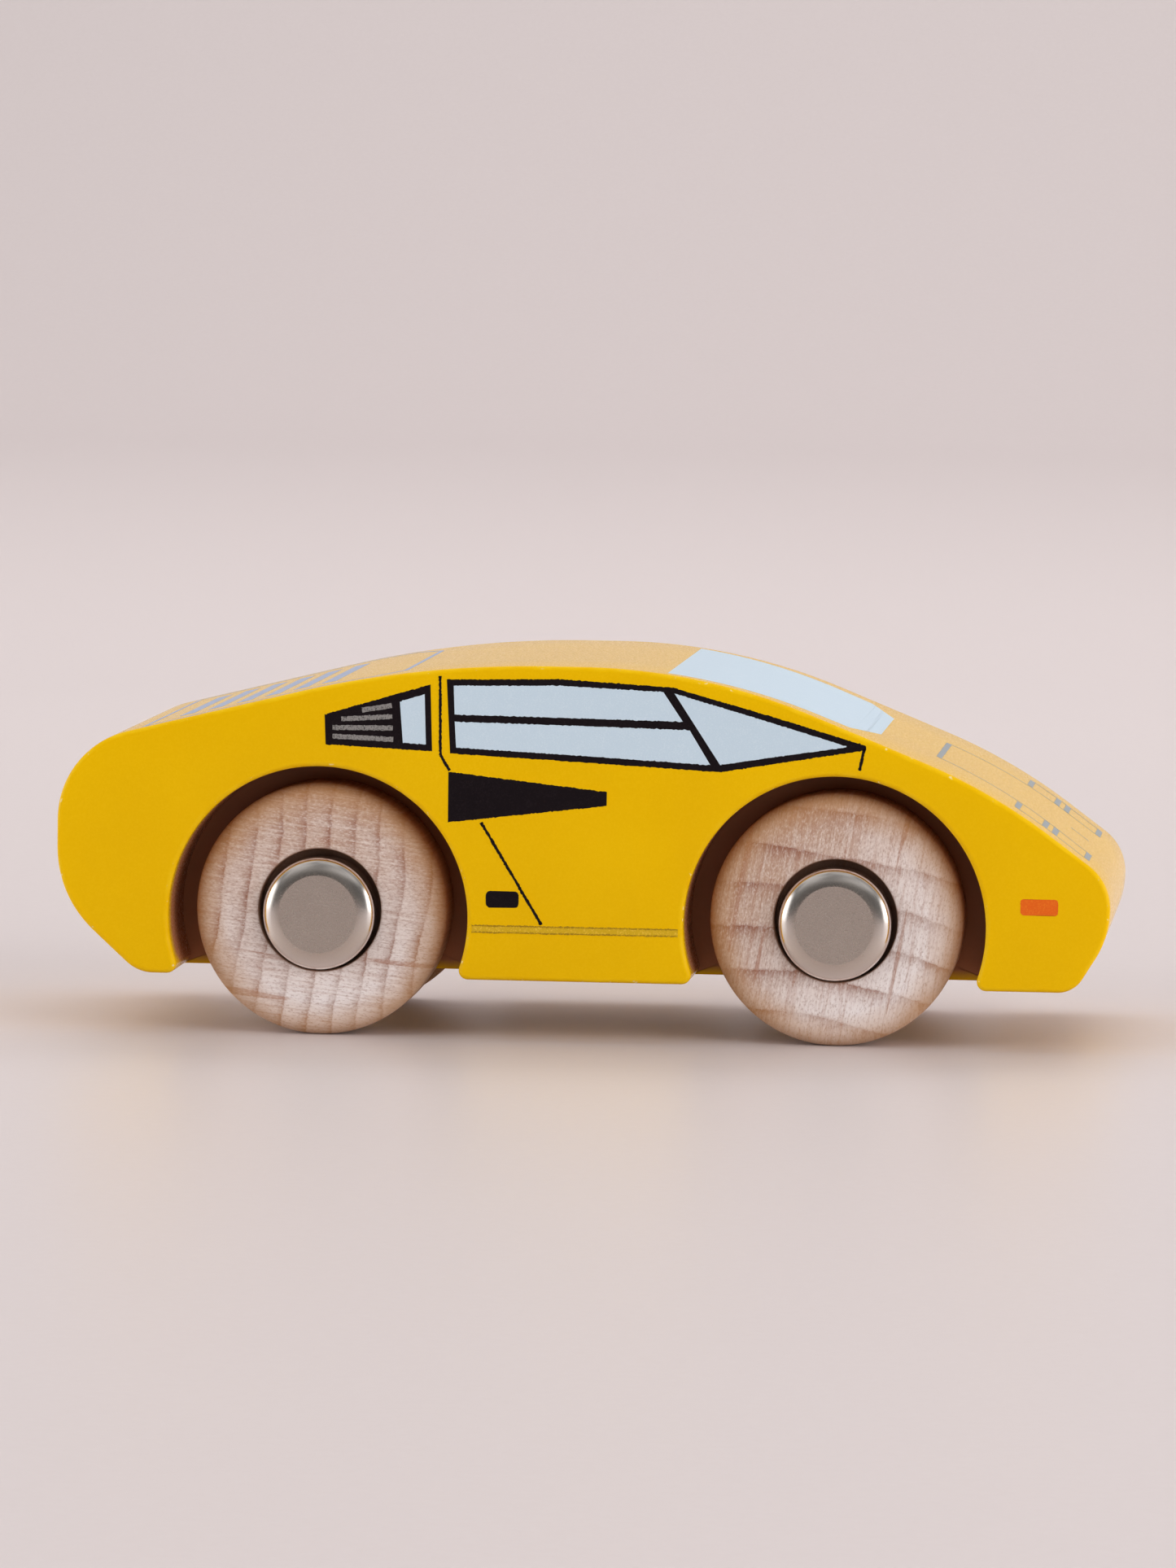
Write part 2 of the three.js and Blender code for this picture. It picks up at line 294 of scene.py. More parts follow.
PAINT_YELLOW = (0.840, 0.492, 0.0008)
PAINT_DEEP = (0.800, 0.455, 0.0006)
PAINT_PALE = (0.880, 0.560, 0.0100)
PRIMER = (0.880, 0.700, 0.300)
# Painted shade: the dark brown of the deep wheel pockets.
POCKET_SHADE_BROWN = (0.430, 0.172, 0.080)
PAINT_RELIEF = 0.0000014
PAINT_SPECULAR = 0.045
CLEAR_COAT_ROUGHNESS = 0.24
CLEAR_COAT_IOR = 1.09


def yellow_paint():
    """Satin paint over wood under a thin clear coat, so that it stays deep from the side and turns
    pale at a low angle: faint cloudiness, a fine mist of spray, grain that shows as shallow lines,
    edges sanded paler with a few tiny chips. Where the mark is below zero, deep in the wheel
    pockets, the paint turns dark brown: painted shade, with the spray thinning out over the wood."""
    material, tree, shader = finish("yellow_paint", PAINT_YELLOW, 0.27)
    place = stretched(tree, (1, 1, 1))
    cloud = noise(tree, place, 95, 3)
    mist = noise(tree, place, 5200, 2, 0.6)
    grain = noise(tree, stretched(tree, (70, 1100, 1100)), 1, 3, 0.55)
    edge = add(tree, "Attribute", attribute_name="mark").outputs["Fac"]
    rub = remap(tree, noise(tree, place, 520, 3), 0.40, 0.62)
    tone = weigh(tree, 0.55, cloud, mist)
    colour = blend(tree, remap(tree, tone, 0.35, 0.65), (*PAINT_DEEP, 1), (*PAINT_YELLOW, 1))
    worn = calc(tree, "MULTIPLY", remap(tree, edge, 0.0, 1.0), calc(tree, "MULTIPLY", rub, 0.6))
    colour = blend(tree, worn, colour, (*PAINT_PALE, 1))
    chip = remap(tree, noise(tree, place, 1700, 2), 0.675, 0.70)
    chip = calc(tree, "MULTIPLY", chip, remap(tree, edge, 0.55, 0.9))
    colour = blend(tree, chip, colour, (*PRIMER, 1))
    # Painted shade: deep in the wheel pockets the paint turns dark brown.
    thin = calc(tree, "SUBTRACT", calc(tree, "MULTIPLY", noise(tree, place, 700, 3), 0.08), edge)
    colour = blend(tree, remap(tree, thin, 0.06, 0.24), colour, (*POCKET_SHADE_BROWN, 1))
    tree.links.new(colour, shader.inputs["Base Color"])
    satin = remap(tree, mist, 0.25, 0.75, 0.25, 0.29)
    tree.links.new(satin, shader.inputs["Roughness"])
    bump(tree, shader, weigh(tree, 0.5, mist, grain), PAINT_RELIEF)
    shader.inputs["Specular IOR Level"].default_value = PAINT_SPECULAR
    shader.inputs["Coat Weight"].default_value = 1.0
    shader.inputs["Coat Roughness"].default_value = CLEAR_COAT_ROUGHNESS
    shader.inputs["Coat IOR"].default_value = CLEAR_COAT_IOR
    return material


RING_STEPS = 10
RIPPLE, RIPPLE_LUMPS = 0.12, 60  # slow changes of the sanded edge, as a share of its radius
NIBBLE, NIBBLE_LUMPS = 0.16, 520
CHORD_STEP = 0.8


def body_patches():
    """The profile loop carried across the car: sunk rings round each side face make the sanded edge,
    at a radius times one minus the sine in from the loop and one minus the cosine in from the face.
    The wheel pockets stop at their floors, so between these the loop runs along the underside."""
    count = len(loop)
    along = np.roll(loop, -1, axis=0) - np.roll(loop, 1, axis=0)
    inward = unit(np.stack([along[:, 1], -along[:, 0]], axis=1))
    radius = np.full(count, EDGE_RADIUS)
    for low, high in arch_spans:
        radius[low:high] = ARCH_EDGE_RADIUS
    uneven = RIPPLE * smooth_noise(count, RIPPLE_LUMPS, 5) + NIBBLE * smooth_noise(count, NIBBLE_LUMPS, 6)
    radius = radius * (1 + uneven)
    turn = np.linspace(0, np.pi / 2, RING_STEPS + 1)[:, None]
    inset = radius * (1 - np.sin(turn))
    depth = radius * (1 - np.cos(turn))
    face = loop + inward * inset[..., None]
    edge = np.stack([face[..., 0], side - depth, face[..., 1]], axis=-1)
    floor = np.stack([loop[:, 0], np.full(count, pocket_floor), loop[:, 1]], axis=-1)
    half = np.concatenate([edge, floor[None]])
    mirror = np.array([1, -1, 1])
    open_columns = np.ones(count, bool)
    for low, high in arch_spans:
        open_columns[low:high] = False
    middle = np.stack([floor, floor * mirror])
    middle_faces = quads(2, count, wrap=True)[open_columns]
    rounding = np.zeros((RING_STEPS + 2, count))
    rounding[:-1] = np.sin(2 * turn)
    # Painted shade: pocket walls get a mark below zero, so that the paint turns dark brown there.
    pocket_shade = np.clip((loop[:, 1] - belly) / POCKET_SHADE_RISE, 0, 1)
    rounding[-1] = -np.where(open_columns, 0, pocket_shade)
    patches = [(middle, middle_faces)]
    marks = [np.stack([rounding[-1], rounding[-1]])]
    for flip in (np.ones(3), mirror):
        patches.append((half * flip, quads(RING_STEPS + 2, count, wrap=True)))
        marks.append(rounding)
        patches.append((edge[0] * flip, [np.arange(count)]))
        marks.append(rounding[0])
    for low, high in arch_spans:
        wall = loop[np.arange(low, high + 1) % count]
        chord = spaced(np.array([wall[-1], wall[0]]), CHORD_STEP)
        rim = np.concatenate([wall, chord[1:-1]])
        hub = np.array([(rim[0, 0] + wall[-1, 0]) / 2, hole_z])
        bore = hub + unit(rim - hub) * hole_radius
        disc = np.stack([rim, bore])
        disc = np.stack([disc[..., 0], np.full(disc.shape[:2], pocket_floor), disc[..., 1]], axis=-1)
        under = np.stack([chord[:, 0], np.full(len(chord), pocket_floor), chord[:, 1]], axis=-1)
        patches.append((disc, quads(2, len(rim), wrap=True)))
        patches.append((disc * mirror, quads(2, len(rim), wrap=True)))
        patches.append((np.stack([disc[1], disc[1] * mirror]), quads(2, len(rim), wrap=True)))
        patches.append((np.stack([under, under * mirror]), quads(2, len(chord))))
        # Painted shade: the pocket floor and bore are marked to turn dark brown.
        deep = -np.clip((disc[..., 2] - belly) / POCKET_SHADE_RISE, 0, 1)
        bore_mark = np.stack([deep[1], deep[1]])
        marks += [deep, deep, bore_mark, np.zeros((2, len(chord)))]
    return patches, marks


body_grids, body_marks = body_patches()
painted_body = piece("painted_body", body_grids, yellow_paint(), "body", body_marks)
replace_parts(painted_body, "car_body")


# Print on both sides
# Windows, vents, door gap, sill band and lamps are printed straight on the paint in thin films of
# ink, dark ones first and the pale panes over them. Their edges are slightly ragged.

INK_FILM = 0.016
INK_STEP = 0.12
INK_RAGGED = 0.022
TABLET_STEPS = 25
INK_RELIEF = 0.000006
INK_SPECULAR = 0.14


def along_knots(knots, at, seed):
    """Points at the given shares of a polyline whose knots lie at equal shares, edges ragged."""
    knots = np.asarray(knots, float)
    share = np.linspace(0, 1, len(knots))
    line = np.stack([np.interp(at, share, knots[:, k]) for k in range(2)], axis=1)
    ahead = unit(np.gradient(line, axis=0))
    stray = np.random.default_rng(seed).normal(0, INK_RAGGED, len(line))
    return line + np.stack([-ahead[:, 1], ahead[:, 0]], axis=1) * stray[:, None]


def between(first, second, seed):
    """A patch ruled between two edges that have as many knots as each other."""
    length = np.linalg.norm(np.diff(np.asarray(first, float), axis=0), axis=1).sum()
    at = np.linspace(0, 1, max(8, int(length / INK_STEP)))
    return np.stack([along_knots(first, at, seed), along_knots(second, at, seed + 1)])


def stroke(start, end, width, seed):
    """A straight line of ink: a patch ruled between its two long edges."""
    start, end = np.asarray(start, float), np.asarray(end, float)
    ahead = unit(end - start)
    across = np.array([-ahead[1], ahead[0]]) * width / 2
    return between([start + across, end + across], [start - across, end - across], seed)


def tablet(low, high, radius, seed):
    """A rectangle with round corners: at each height its half width is cut back by a circle's arc."""
    low, high = np.asarray(low, float), np.asarray(high, float)
    half = (high - low) / 2
    level = np.sin(np.linspace(-np.pi / 2, np.pi / 2, TABLET_STEPS)) * half[1]
    into = np.maximum(np.abs(level) - (half[1] - radius), 0)
    width = half[0] - radius + np.sqrt(np.maximum(radius ** 2 - into ** 2, 0))
    middle = (low + high) / 2
    edges = [middle + np.stack([sign * width, level], axis=1) for sign in (-1, 1)]
    return np.stack(edges) + np.random.default_rng(seed).normal(0, INK_RAGGED / 2, (2, TABLET_STEPS, 2))


def on_side(hand):
    """Places (x, z) points on a side face, at a height out from it."""
    def place(points, height):
        out = np.full(points.shape[:-1], hand * (side + height))
        return np.stack([points[..., 0], out, points[..., 1]], axis=-1)
    return place


def film(patches, place, layer):
    """Each patch as a thin closed slab of ink, rooted just under the paint."""
    grids = []
    for patch in patches:
        rows, cols = patch.shape[:2]
        top = place(patch, layer * INK_FILM)
        root = place(patch, -INK_FILM)
        outline = np.concatenate([
            np.arange(cols),
            np.arange(1, rows) * cols + cols - 1,
            np.arange(rows * cols - 2, (rows - 1) * cols - 1, -1),
            np.arange(rows - 2, 0, -1) * cols,
        ])
        rim = np.stack([top.reshape(-1, 3)[outline], root.reshape(-1, 3)[outline]])
        grids.append((top, quads(rows, cols)))
        grids.append((root, quads(rows, cols)))
        grids.append((rim, quads(2, len(outline), wrap=True)))
    return grids


def ink(name, colour, fleck, amount, roughness=0.46):
    """Printed ink: one colour with fine flecks of another where the dots of the print thin out."""
    material, tree, shader = finish(name, colour, roughness)
    place = stretched(tree, (1, 1, 1))
    dots = noise(tree, place, 8200, 1)
    cloud = noise(tree, place, 900, 3)
    thin = remap(tree, weigh(tree, 0.75, dots, cloud), 0.5, 0.68, 0.0, amount)
    tree.links.new(blend(tree, thin, (*colour, 1), (*fleck, 1)), shader.inputs["Base Color"])
    bump(tree, shader, dots, INK_RELIEF)
    shader.inputs["Specular IOR Level"].default_value = INK_SPECULAR
    return material


black_ink = ink("black_ink", (0.0060, 0.0030, 0.0045), (0.013, 0.008, 0.010), 0.8, 0.5)
pane_ink = ink("pane_ink", (0.555, 0.670, 0.765), (0.61, 0.715, 0.80), 0.9)
slat_ink = ink("slat_ink", (0.25, 0.235, 0.225), (0.05, 0.045, 0.045), 1.0)
sill_ink = ink("sill_ink", (0.63, 0.385, 0.012), (0.80, 0.52, 0.05), 1.0)
sill_edge_ink = ink("sill_edge_ink", (0.36, 0.205, 0.010), (0.66, 0.40, 0.01), 1.0)
lamp_ink = ink("lamp_ink", (0.77, 0.125, 0.010), (0.82, 0.19, 0.015), 0.8)

WINDOW_TOP = [(-11.83, 31.46), (-1.85, 31.66), (7.76, 31.13), (16.14, 28.86), (24.6, 26.40)]
WINDOW_FOOT = [(-11.48, 25.04), (0.27, 24.48), (12.02, 23.88), (18.27, 24.95), (24.62, 26.02)]
PANES = [
    ([(-11.22, 30.93), (-2.0, 31.1), (7.0, 30.72)], [(-11.12, 28.42), (-1.2, 28.32), (8.72, 28.17)]),
    ([(-11.1, 27.80), (-0.8, 27.66), (9.32, 27.45)], [(-10.96, 25.56), (0.1, 25.05), (11.14, 24.48)]),
    ([(7.95, 30.62), (15.45, 28.5), (22.90, 26.34)], [(12.0, 24.50), (17.4, 25.40), (22.90, 26.24)]),
]
VENT_TOP = [(-22.45, 28.22), (-13.25, 31.0)]
VENT_FOOT = [(-22.35, 25.62), (-13.05, 25.20)]
VENT_PANE = ([(-15.9, 29.45), (-13.75, 30.15)], [(-15.6, 25.88), (-13.6, 25.78)])
VENT_SLATS = [
    ((-21.75, 26.35), (-16.45, 26.15)),
    ((-21.75, 27.10), (-16.5, 27.15)),
    ((-21.0, 27.85), (-16.55, 28.15)),
    ((-19.2, 28.65), (-16.6, 29.10)),
]
SLAT_WIDTH = 0.42
INTAKE = ([(-11.6, 23.45), (2.2, 21.95)], [(-11.6, 19.05), (2.2, 20.75)])
GAP_LINE = [(-12.42, 31.75), (-12.32, 24.88), (-11.5, 23.55)]
DOOR_LINE = [(-8.71, 19.1), (-3.36, 10.3)]
QUARTER_LINE = [(24.45, 26.1), (24.05, 24.25)]
HANDLE_MARK = ((-8.22, 11.72), (-5.36, 13.14))
HANDLE_ROUND = 0.35
LAMP_MARK = ((38.12, 12.03), (41.37, 13.43))
LAMP_ROUND = 0.3
SILL_HEIGHT = 9.83
SILL_BAND = 0.58
SILL_EDGE = 0.12
LINE_WIDTH = 0.25
sill_reach = np.sqrt(pocket_radius ** 2 - (SILL_HEIGHT - hole_z) ** 2) + ARCH_EDGE_RADIUS
sill_ends = [(rear_x + sill_reach, SILL_HEIGHT), (front_x - sill_reach, SILL_HEIGHT)]

for hand, name in ((-1, "right"), (1, "left")):
    place = on_side(hand)
    dark = [
        between(WINDOW_TOP, WINDOW_FOOT, 11),
        between(VENT_TOP, VENT_FOOT, 13),
        between(*INTAKE, 15),
        stroke(GAP_LINE[0], GAP_LINE[1], LINE_WIDTH, 17),
        stroke(GAP_LINE[1], GAP_LINE[2], LINE_WIDTH, 19),
        stroke(*DOOR_LINE, LINE_WIDTH, 21),
        stroke(*QUARTER_LINE, LINE_WIDTH, 23),
        tablet(*HANDLE_MARK, HANDLE_ROUND, 25),
    ]
    piece(f"{name}_dark_print", film(dark, place, 1), black_ink, "body")
    panes = [between(top, foot, 31 + i) for i, (top, foot) in enumerate(PANES + [VENT_PANE])]
    piece(f"{name}_pane_print", film(panes, place, 2), pane_ink, "body")
    slats = [stroke(start, end, SLAT_WIDTH, 41 + i) for i, (start, end) in enumerate(VENT_SLATS)]
    piece(f"{name}_slat_print", film(slats, place, 2), slat_ink, "body")
    sill = [stroke(*sill_ends, SILL_BAND, 51)]
    piece(f"{name}_sill_print", film(sill, place, 1), sill_ink, "body")
    lifts = (-SILL_BAND / 2, SILL_BAND / 2)
    rows = [stroke(*np.add(sill_ends, (0, lift)), SILL_EDGE, 55) for lift in lifts]
    piece(f"{name}_sill_edge_print", film(rows, place, 2), sill_edge_ink, "body")
    marker = [tablet(*LAMP_MARK, LAMP_ROUND, 53)]
    piece(f"{name}_lamp_print", film(marker, place, 1), lamp_ink, "body")


# Print on top
# The windscreen is a pale pane with cut front corners. Thin grey lines mark the bonnet panel, the
# lamp covers and the deck behind the roof, with short bars across them.

TOP_LOWEST = 12.0  # below this height the profile turns under the nose and the tail
top_points = upper[(upper[:, 1] > TOP_LOWEST) & (np.gradient(upper[:, 0]) > LOOP_STEP / 10)]


def on_top(points, height):
    """Places (x, y) points on the curved top, at a height out along the profile's own normal."""
    x = points[..., 0]
    rise = np.interp(x, top_points[:, 0], top_points[:, 1])
    slope = np.interp(x, top_points[:, 0], np.gradient(top_points[:, 1], top_points[:, 0]))
    lean = np.sqrt(1 + slope ** 2)
    return np.stack([x - height * slope / lean, points[..., 1], rise + height / lean], axis=-1)


def mirrored(start, end):
    """A line on the right half of the top, and its twin on the left half."""
    return [(start, end), ((start[0], -start[1]), (end[0], -end[1]))]


line_ink = ink("line_ink", (0.30, 0.335, 0.37), (0.42, 0.40, 0.30), 0.7)
deck_ink = ink("deck_ink", (0.36, 0.42, 0.58), (0.48, 0.53, 0.60), 0.8)

WINDSCREEN_EDGE = [(7.2, -17.2), (15.0, -16.2), (22.9, -15.2), (25.25, -9.6)]
screen_edges = [WINDSCREEN_EDGE, [(x, -y) for x, y in WINDSCREEN_EDGE]]
piece("windscreen_print", film([between(*screen_edges, 61)], on_top, 1), pane_ink, "body")

PANEL_BACK, PANEL_FRONT = 30.3, 43.6
PANEL_BACK_HALF, PANEL_FRONT_HALF = 8.2, 9.6
NOSE_MARK = ((41.6, 0.0), (43.2, 0.0))
BAR_WIDTH = 0.44
FINE_LINE = 0.2
LAMP_BARS = (37.5, 39.9, 40.75, PANEL_FRONT)
LAMP_INNER, LAMP_OUTER = 9.6, 15.0
fine = mirrored((PANEL_BACK, -PANEL_BACK_HALF), (PANEL_FRONT, -PANEL_FRONT_HALF))
fine += mirrored((LAMP_BARS[0], -LAMP_OUTER), (LAMP_BARS[-1], -LAMP_OUTER))
fine += [NOSE_MARK]
bars = [((PANEL_BACK, -PANEL_BACK_HALF), (PANEL_BACK, PANEL_BACK_HALF))]
for x in LAMP_BARS:
    bars += mirrored((x, -LAMP_OUTER), (x, -LAMP_INNER))
strokes = [stroke(*ends, FINE_LINE, 71) for ends in fine]
strokes += [stroke(*ends, BAR_WIDTH, 73) for ends in bars]
piece("bonnet_line_print", film(strokes, on_top, 1), line_ink, "body")

DECK_FRONT, DECK_BACK = -16.0, -38.5
DECK_WIDE, DECK_NARROW = 17.0, 13.8
DECK_CUT = DECK_FRONT - 2.4
DECK_LINE = 0.4
DECK_SLATS = np.linspace(-35.5, -23.0, 6)
DECK_SLAT_WIDTH = 1.3
DECK_SLAT_REACH = 12.2
outline = mirrored((DECK_FRONT, -DECK_NARROW), (DECK_CUT, -DECK_WIDE))
outline += mirrored((DECK_CUT, -DECK_WIDE), (DECK_BACK, -DECK_WIDE))
outline += [((x, -y), (x, y)) for x, y in ((DECK_FRONT, DECK_NARROW), (DECK_BACK, DECK_WIDE))]
deck = [stroke(*ends, DECK_LINE, 81) for ends in outline]
deck += [stroke((x, -DECK_SLAT_REACH), (x, DECK_SLAT_REACH), DECK_SLAT_WIDTH, 83) for x in DECK_SLATS]
piece("deck_print", film(deck, on_top, 1), deck_ink, "body")


# Axles and push nuts
# Plain drawn steel rods, and tempered spring washers that bite on their ends inside the caps. Both
# stay as the solids of the frame, with bare metal on them.

STEEL_RELIEF = 0.000008
STEEL_SHADE = 0.75


def bare_steel(name, colour, roughness):
    """Drawn steel: streaks along the rod that change its sheen and barely its height."""
    material, tree, shader = finish(name, colour, roughness, 1.0)
    streak = noise(tree, stretched(tree, (2600, 90, 2600)), 1, 3)
    sheen = remap(tree, streak, 0.3, 0.7, roughness - 0.08, roughness + 0.1)
    tree.links.new(sheen, shader.inputs["Roughness"])
    shade = [c * STEEL_SHADE for c in colour]
    tree.links.new(blend(tree, streak, (*colour, 1), (*shade, 1)), shader.inputs["Base Color"])
    bump(tree, shader, streak, STEEL_RELIEF)
    return material


axle_steel = bare_steel("axle_steel", (0.42, 0.42, 0.43), 0.34)
nut_steel = bare_steel("nut_steel", (0.25, 0.25, 0.26), 0.42)
for node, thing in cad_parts.items():
    if node.endswith("_axle"):
        thing.data.materials.clear()
        thing.data.materials.append(axle_steel)
    if node.endswith("_push_nut"):
        thing.data.materials.clear()
        thing.data.materials.append(nut_steel)


# Wheels
# Slices of a turned beech dowel, so that each face shows end grain: growth rings as soft bands, and
# fine rays across them. They are bored for the axle and counterbored for the cap.

WHEEL_FACE_ROUND = 1.5
WHEEL_BACK_ROUND = 1.0
BORE_CLEARANCE = 0.54
CAP_GAP = 0.45
COUNTERBORE_DEPTH = 2.8
COUNTERBORE_LIP = 0.22
FACE_CROWN = 0.2
WHEEL_SIDES = 128
cap_low, cap_high = box_mm("front_left_hub_cap")
cap_radius = (cap_high[0] - cap_low[0]) / 2


def turned(profile, centre_x, centre_z, hand, sides):
    """A profile of (radius, distance out from the car's middle) carried round an axle's line."""
    angle = np.linspace(0, 2 * np.pi, sides, endpoint=False)
    radius, out = profile[:, :1], profile[:, 1:]
    grid = np.stack([
        centre_x + radius * np.cos(angle),
        hand * np.broadcast_to(out, (len(profile), sides)),
        centre_z + radius * np.sin(angle),
    ], axis=-1)
    return [(grid, quads(len(profile), sides, wrap=True))]


def wheel_profile():
    """Bore, back face, rounded tread and a faintly crowned face down into the counterbore."""
    back, front = wheel_low[1], wheel_high[1]
    bore = axle_radius + BORE_CLEARANCE
    well = cap_radius + CAP_GAP
    quarter = np.pi / 2
    face_edge = wheel_radius - WHEEL_FACE_ROUND
    face = np.linspace(face_edge, well + COUNTERBORE_LIP, 12)[1:-1]
    crown = front - FACE_CROWN * ((face - well) / (face_edge - well)) ** 2
    return np.concatenate([
        [(bore, back)],
        arc((wheel_radius - WHEEL_BACK_ROUND, back + WHEEL_BACK_ROUND), WHEEL_BACK_ROUND, -quarter, 0, 8),
        arc((face_edge, front - FACE_CROWN - WHEEL_FACE_ROUND), WHEEL_FACE_ROUND, 0, quarter, 14),
        np.stack([face, crown], axis=1),
        arc((well + COUNTERBORE_LIP, front - COUNTERBORE_LIP), COUNTERBORE_LIP, quarter, np.pi, 5),
        [(well, front - COUNTERBORE_DEPTH), (bore, front - COUNTERBORE_DEPTH), (bore, back)],
    ])


PALE_WOOD = (0.870, 0.800, 0.785)
WARM_WOOD = (0.505, 0.325, 0.230)
LATE_WOOD = (0.290, 0.125, 0.080)
RAY_WOOD = (0.390, 0.185, 0.122)
BRIGHT_WOOD = (0.900, 0.820, 0.780)
# Painted shade and painted warm bounce light: brown round the rim.
RIM_SHADE_BROWN = (0.480, 0.240, 0.082)
# Painted shade: dark brown for the counterbore.
COUNTERBORE_SHADE_BROWN = (0.310, 0.162, 0.098)
RIM_SHADE_START, RIM_SHADE_END = 0.0087, 0.0113
HEART_AND_SHADE_REACH = 0.0085
WOOD_RELIEF = 0.00003
WOOD_SPECULAR = 0.25


def sway(tree, vector, scale, detail, amount):
    """Noise about zero, times an amount."""
    return calc(tree, "MULTIPLY", calc(tree, "SUBTRACT", noise(tree, vector, scale, detail), 0.5), amount)


def beech(name, centre, turn, ring, bow, shift, heart_and_shade_side):
    """End grain in the wheel's plane. Across the rings, a place plus a bow times the square of the
    place along them plus a wobble, divided by the ring width, gives the ring; its remainder runs
    from pale early wood to a thin darker line that comes and goes. The wood turns warmer and darker
    towards one side, partly heartwood and partly painted shade and light for how light falls on the
    face. Rays are noise drawn out across the rings and notch them, pores are fine noise, the rim is
    painted brown as shade from the arch and warm light bounced off the paint, and the counterbore,
    where the mark is one, is painted dark brown as shade."""
    material, tree, shader = finish(name, PALE_WOOD, 0.6)
    place = add(tree, "TexCoord").outputs["Object"]
    about = {"Vector": place, "Center": centre, "Angle": turn}
    spun = add(tree, "VectorRotate", about, rotation_type="Y_AXIS").outputs[0]
    local = add(tree, "VectorMath", {0: spun, 1: centre}, operation="SUBTRACT").outputs[0]
    parts = add(tree, "SeparateXYZ", {0: local})
    across, deep, along = parts.outputs
    shallow = calc(tree, "MULTIPLY", deep, 0.12)
    flat = add(tree, "CombineXYZ", {0: across, 1: shallow, 2: along}).outputs[0]
    moved = add(tree, "VectorMath", {0: flat, 1: (shift, shift, shift)}, operation="ADD").outputs[0]
    slow = sway(tree, moved, 110, 1, 0.0016)
    quick = sway(tree, moved, 1300, 2, 0.00022)
    bowed = calc(tree, "MULTIPLY", calc(tree, "MULTIPLY", along, along), bow)
    hatch_place = add(tree, "Mapping", {"Vector": moved, "Scale": (190, 30, 4300)}).outputs[0]
    hatch = noise(tree, hatch_place, 1, 2, 0.6)
    notch = calc(tree, "MULTIPLY", hatch, 0.00045)
    wobble = calc(tree, "ADD", calc(tree, "ADD", slow, quick), notch)
    ringed = calc(tree, "ADD", calc(tree, "ADD", across, bowed), wobble)
    age = calc(tree, "FRACT", calc(tree, "ADD", calc(tree, "DIVIDE", ringed, ring), 40 + shift))
    late = calc(tree, "POWER", remap(tree, age, 0.10, 0.985), 3.6)
    start = remap(tree, age, 0.0, 0.06, 0.5, 0.0)
    line = calc(tree, "MAXIMUM", late, start)
    strength = remap(tree, noise(tree, moved, 260, 2), 0.32, 0.62, 0.30, 1.0)
    # Partly heartwood, partly painted shade and light: the wood turns warmer and darker towards one side.
    towards = add(tree, "VectorMath", {0: place, 1: centre}, operation="SUBTRACT").outputs[0]
    towards = add(tree, "VectorMath", {0: towards, 1: heart_and_shade_side}, operation="DOT_PRODUCT").outputs["Value"]
    patchy = sway(tree, moved, 300, 3, 0.012)
    warmth = remap(tree, calc(tree, "ADD", towards, patchy), -HEART_AND_SHADE_REACH, HEART_AND_SHADE_REACH, 0.0, 0.9)
    colour = blend(tree, warmth, (*PALE_WOOD, 1), (*WARM_WOOD, 1))
    strength = calc(tree, "MULTIPLY", strength, remap(tree, warmth, 0.0, 0.7, 0.8, 1.0))
    colour = blend(tree, calc(tree, "MULTIPLY", line, strength), colour, (*LATE_WOOD, 1))
    colour = blend(tree, remap(tree, hatch, 0.48, 0.72, 0.0, 0.36), colour, (*RAY_WOOD, 1))
    colour = blend(tree, remap(tree, hatch, 0.50, 0.28, 0.0, 0.28), colour, (*BRIGHT_WOOD, 1))
    ray_place = add(tree, "Mapping", {"Vector": moved, "Scale": (70, 30, 1300)}).outputs[0]
    ray = remap(tree, noise(tree, ray_place, 1, 1), 0.685, 0.715, 0.0, 0.6)
    colour = blend(tree, ray, colour, (*RAY_WOOD, 1))
    pore_place = add(tree, "Mapping", {"Vector": moved, "Scale": (3600, 800, 7400)}).outputs[0]
    pores = noise(tree, pore_place, 1, 2, 0.65)
    colour = blend(tree, remap(tree, pores, 0.52, 0.70, 0.0, 0.44), colour, (*LATE_WOOD, 1))
    colour = blend(tree, remap(tree, pores, 0.46, 0.30, 0.0, 0.42), colour, (*BRIGHT_WOOD, 1))
    distance = add(tree, "VectorMath", {0: flat}, operation="LENGTH").outputs["Value"]
    # Painted shade and painted warm bounce light: the rim turns brown.
    ragged = calc(tree, "ADD", distance, calc(tree, "MULTIPLY", noise(tree, moved, 420, 3), 0.0012))
    colour = blend(tree, remap(tree, ragged, RIM_SHADE_START, RIM_SHADE_END, 0.0, 0.72), colour, (*RIM_SHADE_BROWN, 1))
    # Painted shade: the counterbore and bore turn dark brown.
    counterbore_shade = add(tree, "Attribute", attribute_name="mark").outputs["Fac"]
    colour = blend(tree, calc(tree, "MULTIPLY", counterbore_shade, 0.9), colour, (*COUNTERBORE_SHADE_BROWN, 1))
    tree.links.new(colour, shader.inputs["Base Color"])
    tree.links.new(remap(tree, pores, 0.3, 0.7, 0.5, 0.68), shader.inputs["Roughness"])
    relief = calc(tree, "SUBTRACT", pores, calc(tree, "MULTIPLY", hatch, 0.8))
    bump(tree, shader, relief, WOOD_RELIEF)
    shader.inputs["Specular IOR Level"].default_value = WOOD_SPECULAR
    return material


